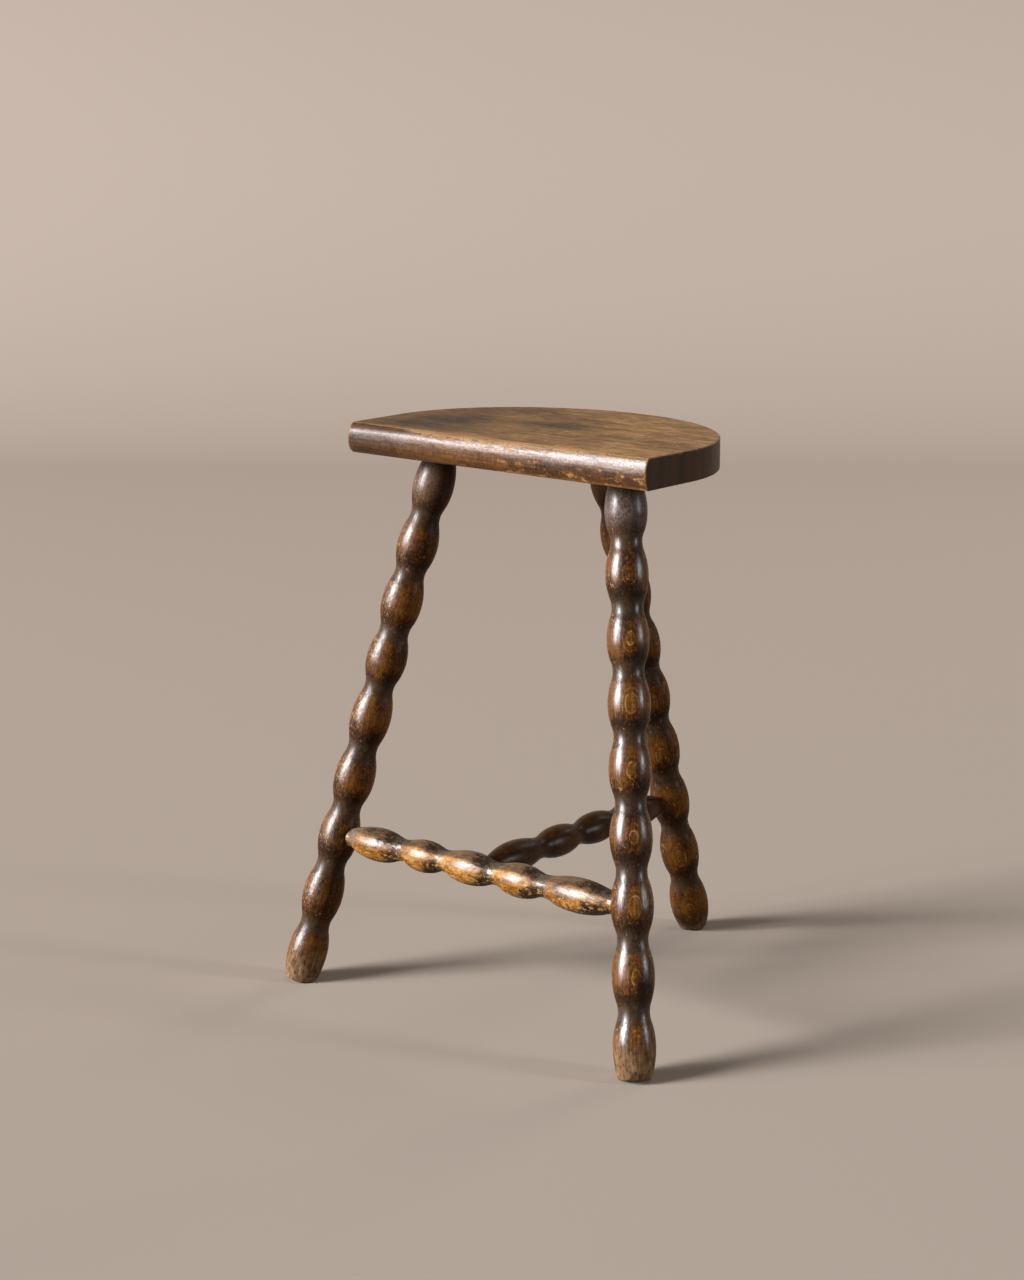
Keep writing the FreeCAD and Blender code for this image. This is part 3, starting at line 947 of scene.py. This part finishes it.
def seat_wood(name):
    wood = Wood(name, 2.1)
    x, z = wood.x, wood.z
    nose, side = wood.attribute("nose"), wood.attribute("side")
    fibre = wood.noise((24, 520, 520), 4, 0.6)
    streaks = wood.noise((9, 70, 70), 4, 0.6)
    clouds = wood.noise((18, 30, 30), 4)
    blots = wood.noise((60, 110, 110), 5, 0.62)
    speck = wood.noise((600, 900, 900), 3, 0.62)
    upright = wood.noise((520, 520, 60), 3, 0.6)

    def spot(middle, half):
        """A soft stain on the top: 1 in its middle, 0 outside."""
        away = wood.vector("SUBTRACT", wood.raw, (middle[0] * MM, middle[1] * MM, SEAT_TOP))
        away = wood.vector("MULTIPLY", away, (1 / (half[0] * MM), 1 / (half[1] * MM), 0))
        away = wood.total(wood.vector("LENGTH", away), (1.1, clouds), (0.6, blots))
        return wood.span(away, 0.9, 2.0, 1.0, 0.0)

    # Top: olive brown with a dark stain near the middle, more golden towards the right-hand end
    gold = wood.span(wood.total(x, (100 * MM, clouds)), -20 * MM, 140 * MM)
    flecks = wood.span(wood.noise((120, 150, 150), 4, 0.66), 0.60, 0.67)
    grit = wood.noise((110, 330, 330), 5, 0.68)
    grain = wood.noise((5, 260, 260), 5, 0.66, distortion=0.15)
    pores = wood.noise((20, 950, 950), 2, 0.5)
    top_stain = wood.total(
        0.12,
        (0.13, grit, 0.40, 0.60), (0.20, clouds, 0.38, 0.62),
        (0.13, blots, 0.42, 0.62), (-0.12, gold),
        *[(strength, spot(middle, half)) for strength, middle, half in TOP_STAINS],
        (0.17, grain, 0.36, 0.64), (0.10, fibre, 0.34, 0.66),
        (0.08, streaks, 0.36, 0.64), (0.13, pores, 0.57, 0.68),
        (0.06, wood.span(x, -130 * MM, -20 * MM, 1.0, 0.0)),
        (-0.32, wood.product(flecks, wood.total(0.4, gold))),
    )
    top = wood.ramp(top_stain, BOARD_TOP)

    # Front edge: orange-brown below, darker at the left, with dark patches and pale chips at the right
    left = wood.span(x, -135 * MM, -45 * MM, 1.0, 0.0)
    right = wood.span(x, -15 * MM, 50 * MM)
    ripple = wood.noise((130, 300, 300), 4, 0.64)
    height = wood.total(z, (9 * MM, blots), (5 * MM, ripple))
    low = wood.span(height, UNDERSIDE + 18.5 * MM, UNDERSIDE + 22.5 * MM, 1.0, 0.0)
    dark = wood.span(wood.total(blots, (0.06, right), (0.04, left)), 0.46, 0.58)
    chips = wood.span(wood.noise((110, 260, 260), 5, 0.66), 0.55, 0.60)
    chips = wood.product(chips, low, wood.total(0.15, (0.85, right)))
    foot = wood.product(
        (z, UNDERSIDE + 1.0 * MM, UNDERSIDE + 3.5 * MM, 1.0, 0.0),
        (wood.total(blots, (0.12, right)), 0.50, 0.62),
    )
    front_stain = wood.total(
        0.16,
        (0.24, wood.product(dark, low, wood.total(0.35, (0.65, right)))),
        (0.22, left), (0.06, wood.span(height, UNDERSIDE + 12 * MM, UNDERSIDE + 20 * MM)),
        (0.16, fibre, 0.34, 0.66), (0.14, wood.product(low, (upright, 0.38, 0.62))),
        (0.12, speck, 0.42, 0.60), (-0.44, chips), (-0.36, foot),
    )
    front = wood.ramp(front_stain, BOARD_FRONT)

    # Ends and bow: dark, with faint upright streaks
    bands = wood.noise((120, 120, 8), 4, 0.6)
    dark_side = wood.ramp(wood.total((0.6, bands), (0.2, upright), (0.2, clouds)), BOARD_SIDE)
    colour = wood.mix(wood.mix(top, front, nose), dark_side, side)

    # Finish rubbed through along the edges, broadest at the middle of the front
    ragged = wood.noise((120, 420, 420), 5, 0.7)
    frayed = wood.noise((700, 800, 800), 3, 0.6)

    def rubbed(edge, reach, limit, strength):
        """Wear as far as reach from an edge, frayed where it ends."""
        apart = wood.math("DIVIDE", wood.attribute(edge), reach)
        return wood.span(wood.total(apart, (0.8, frayed)), 0.9, limit, strength, 0.0)

    broad = wood.product((x, -100 * MM, -40 * MM), (x, 20 * MM, 90 * MM, 1.0, 0.0))
    front_reach = wood.product(
        (ragged, 0.34, 0.66, 0.2, 1.0),
        wood.total(1.6 * MM, (2.9 * MM, wood.span(x, -120 * MM, -60 * MM)), (9.5 * MM, broad)),
        wood.total(0.35, (0.65, nose)),
    )
    rim_reach = wood.span(ragged, 0.36, 0.64, 0.3 * MM, 1.9 * MM)
    corner_reach = wood.span(ragged, 0.36, 0.64, 0.3 * MM, 1.8 * MM)
    corner_wear = wood.product(
        rubbed("corner_edge", corner_reach, 1.5, 0.8),
        (z, SEAT_TOP - 9 * MM, SEAT_TOP - 3 * MM, 0.35, 1.0),
    )
    front_wear = rubbed("front_arris", front_reach, 1.4, 1.0)
    wear = wood.most(front_wear, rubbed("rim_arris", rim_reach, 1.5, 0.6), corner_wear)
    bare = wood.ramp(wood.total((0.6, fibre), (0.4, speck)), RUBBED_BARE)
    colour = wood.mix(colour, bare, wear, 0.8)
    cracks = wood.span(wood.crazing((150, 260, 260)), 0.0, 0.05, 1.0, 0.0)
    cracks = wood.product(cracks, (ragged, 0.48, 0.56), nose)
    colour = wood.mix(colour, CRACK, cracks, 0.5)

    # Polish left on the front edge
    polish = wood.product(
        (wood.total((0.6, wear), chips, (0.62, low)), 0.0, 0.8, 1.0, 0.1),
        (x, -130 * MM, 100 * MM, 0.62, 1.0),
        (wood.total((0.5, fibre), (0.5, speck)), 0.42, 0.58, 1.0, 0.45),
        nose,
    )
    roughness = wood.total(0.50, (-0.10, nose), (0.08, speck), (0.16, wear), (-0.10, side), (0.12, chips))
    dimples = wood.noise((90, 220, 220), 3, 0.6)
    wood.bump((fibre, 0.04), (speck, 0.04), (dimples, 0.16), (wear, -0.12), (cracks, -0.08))
    return wood.finish(colour, roughness, specular=0.22, coat=polish, coat_roughness=0.40, coat_ior=1.64)


# The stool

# How far each neck strays along its leg from the even rows of the frame, in mm, from the top
LEFT_DRIFT = (0.3, 0.5, 0.9, -1.1, 1.4, 2.0, 0.1, 0.4)
RIGHT_DRIFT = (-2.3, -0.7, -1.7, -2.1, -2.3, -1.7, -2.2, 0.0)
REAR_DRIFT = (1.2, 0.8, 0.5, -0.4, -1.1, -1.1, -1.5, -2.2)


def front_leg(hand, facing, drift, seed):
    """hand is -1 for the left-hand leg and 1 for the right-hand one."""
    top = (hand * FRONT_LEG_TOP_X, FRONT_LEG_TOP_Y, UNDERSIDE)
    foot = (hand * FRONT_LEG_FOOT_X, FRONT_LEG_FOOT_Y, 0)
    return Leg(top, foot, FRONT_FOOT_RADIUS, facing, drift, seed)


def leg_socket(leg):
    return Socket(leg.stretcher_point, leg.along, BULB, TENON_IN_LEG)


left = front_leg(-1, 64, LEFT_DRIFT, 11)
right = front_leg(1, 44, RIGHT_DRIFT, 23)
rear = Leg((0, REAR_LEG_TOP_Y, UNDERSIDE), (0, REAR_LEG_FOOT_Y, 0), REAR_FOOT_RADIUS, 38, REAR_DRIFT, 37)

front_bar = Bar(
    leg_socket(left), leg_socket(right), FRONT_TENON, FRONT_BULBS, FRONT_SWELL, face=(0, -1, 0.6), seed=51)
bar_middle = (left.stretcher_point + right.stretcher_point) / 2
bar_socket = Socket(bar_middle, front_bar.along, BAR_BULB, TENON_IN_BAR)
cross_bar = Bar(
    bar_socket, leg_socket(rear), CROSS_TENON, CROSS_BULBS, CROSS_SWELL, face=(1, 0, 0.5), seed=67)

left_wood = leg_wood(
    "LeftLegWood", left, shift=0.0, grey=0.5, figure=0.35, flecks=0.46,
    gloss=0.95, gloss_blur=0.38, dull_gloss=0.12)
right_wood = leg_wood(
    "RightLegWood", right, shift=1.7, grey=0.95, figure=1.0, flecks=0.32,
    gloss=1.0, gloss_blur=0.31, dull_gloss=0.6)
rear_wood = leg_wood(
    "RearLegWood", rear, shift=3.1, grey=0.2, figure=0.7, flecks=0.28,
    gloss=0.4, gloss_blur=0.33, dull_gloss=0.08, foot_spared=12 * MM)
worn_wood = worn_bar_wood("WornBarWood", front_bar.angle_of(UP))
dark_wood = dark_bar_wood("DarkBarWood")

made = {
    "seat": (seat_piece("seat_board"), "seat_wood", seat_wood("SeatWood")),
    "left_leg": (left.piece("leg_left"), "leg_wood", left_wood),
    "right_leg": (right.piece("leg_right"), "leg_wood", right_wood),
    "rear_leg": (rear.piece("leg_rear"), "leg_wood", rear_wood),
    "front_stretcher": (front_bar.piece("bar_front", worn=True), "worn_wood", worn_wood),
    "cross_stretcher": (cross_bar.piece("bar_cross", worn=False), "dark_wood", dark_wood),
}
for node, (piece, slot, material) in made.items():
    piece.data.materials.append(material)
    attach(piece, "root")
    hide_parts(node)


# Stage

FLOOR_PALE = (0.376, 0.320, 0.272)
FLOOR_BROWN = (0.145, 0.088, 0.052)
FLOOR_ROUGHNESS = 0.8
FLOOR_NEAR = 8.0  # towards the camera
FLOOR_HALF_WIDTH = 9.0
BEND_START = 2.6  # behind the stool
BEND_RADIUS = 1.2
BEND_STEPS = 24
BACKDROP_HEIGHT = 5.0
LAMP_AIM = Vector((0, 0, 0.25))
KEY_COLOUR = (1.0, 0.978, 0.99)
SIDE_COLOUR = (0.92, 0.95, 1.0)
BACK_COLOUR = (1.0, 0.95, 0.88)
WORLD_COLOUR = (1.0, 0.93, 0.84)
WORLD_STRENGTH = 0.10


def floor_material(name):
    """Pale to the camera and in reflections, but it lights the stool as a brown floor does."""
    nodes = Nodes(name)
    rays = nodes.tree.nodes.new("ShaderNodeLightPath").outputs
    seen = nodes.most(rays["Is Camera Ray"], rays["Is Glossy Ray"], rays["Is Transmission Ray"])
    colour = nodes.mix(FLOOR_BROWN, FLOOR_PALE, seen)
    nodes.put(nodes.shader, {"Base Color": colour, "Roughness": FLOOR_ROUGHNESS, "Specular IOR Level": 0.0})
    return nodes.material


def sweep(name):
    """Floor that curves up into a backdrop behind the stool, as the camera sees it."""
    away = unit((CAMERA_AIM[0] - CAMERA_EYE[0], CAMERA_AIM[1] - CAMERA_EYE[1], 0))
    across = np.array([-away[1], away[0], 0])
    line = [(-FLOOR_NEAR, 0.0)]
    for turn in np.linspace(0, math.pi / 2, BEND_STEPS):
        line.append((BEND_START + BEND_RADIUS * math.sin(turn), BEND_RADIUS * (1 - math.cos(turn))))
    line.append((BEND_START + BEND_RADIUS, BACKDROP_HEIGHT))
    sides = (-FLOOR_HALF_WIDTH, FLOOR_HALF_WIDTH)
    points = [away * back + UP * height + across * side for back, height in line for side in sides]
    faces = [(2 * i, 2 * i + 2, 2 * i + 3, 2 * i + 1) for i in range(len(line) - 1)]
    return make_piece(name, points, faces, {})


def aimed(name, data, place, look):
    """A lamp or camera at a place, looking along a direction."""
    holder = bpy.data.objects.new(name, data)
    holder.location = place
    holder.rotation_euler = look.to_track_quat("-Z", "Y").to_euler()
    bpy.context.scene.collection.objects.link(holder)
    return holder


def lamp(name, azimuth, elevation, distance, size, power, colour):
    """Area lamp that looks at the stool. Azimuth 0 is in front of it, and 90 at its right-hand end."""
    turn, tilt = math.radians(azimuth), math.radians(elevation)
    way = Vector((math.sin(turn) * math.cos(tilt), -math.cos(turn) * math.cos(tilt), math.sin(tilt)))
    light = bpy.data.lights.new(name, "AREA")
    light.shape = "RECTANGLE"
    light.size, light.size_y = size
    light.energy = power
    light.color = colour
    aimed(name, light, LAMP_AIM + way * distance, -way)


floor = sweep("studio_floor")
floor.data.materials.append(floor_material("PaleFloor"))

lamp("key", azimuth=-33, elevation=25, distance=18.0, size=(4.8, 6.4), power=4480, colour=KEY_COLOUR)
lamp("key_soft", azimuth=-34, elevation=16, distance=18.2, size=(9.2, 9.0), power=3600, colour=KEY_COLOUR)
lamp("side", azimuth=112, elevation=16, distance=8.0, size=(1.2, 2.4), power=240, colour=SIDE_COLOUR)
lamp("back", azimuth=178, elevation=33, distance=4.0, size=(1.2, 1.2), power=24, colour=BACK_COLOUR)

world = bpy.data.worlds.new("Studio")
world.use_nodes = True
background = world.node_tree.nodes["Background"]
background.inputs["Color"].default_value = (*WORLD_COLOUR, 1.0)
background.inputs["Strength"].default_value = WORLD_STRENGTH
scene = bpy.context.scene
scene.world = world
scene.view_settings.view_transform = "Standard"

camera = bpy.data.cameras.new("photo_camera")
camera.lens = CAMERA_LENS
camera.sensor_width = CAMERA_SENSOR
scene.camera = aimed("photo_camera", camera, CAMERA_EYE, Vector(CAMERA_AIM) - Vector(CAMERA_EYE))
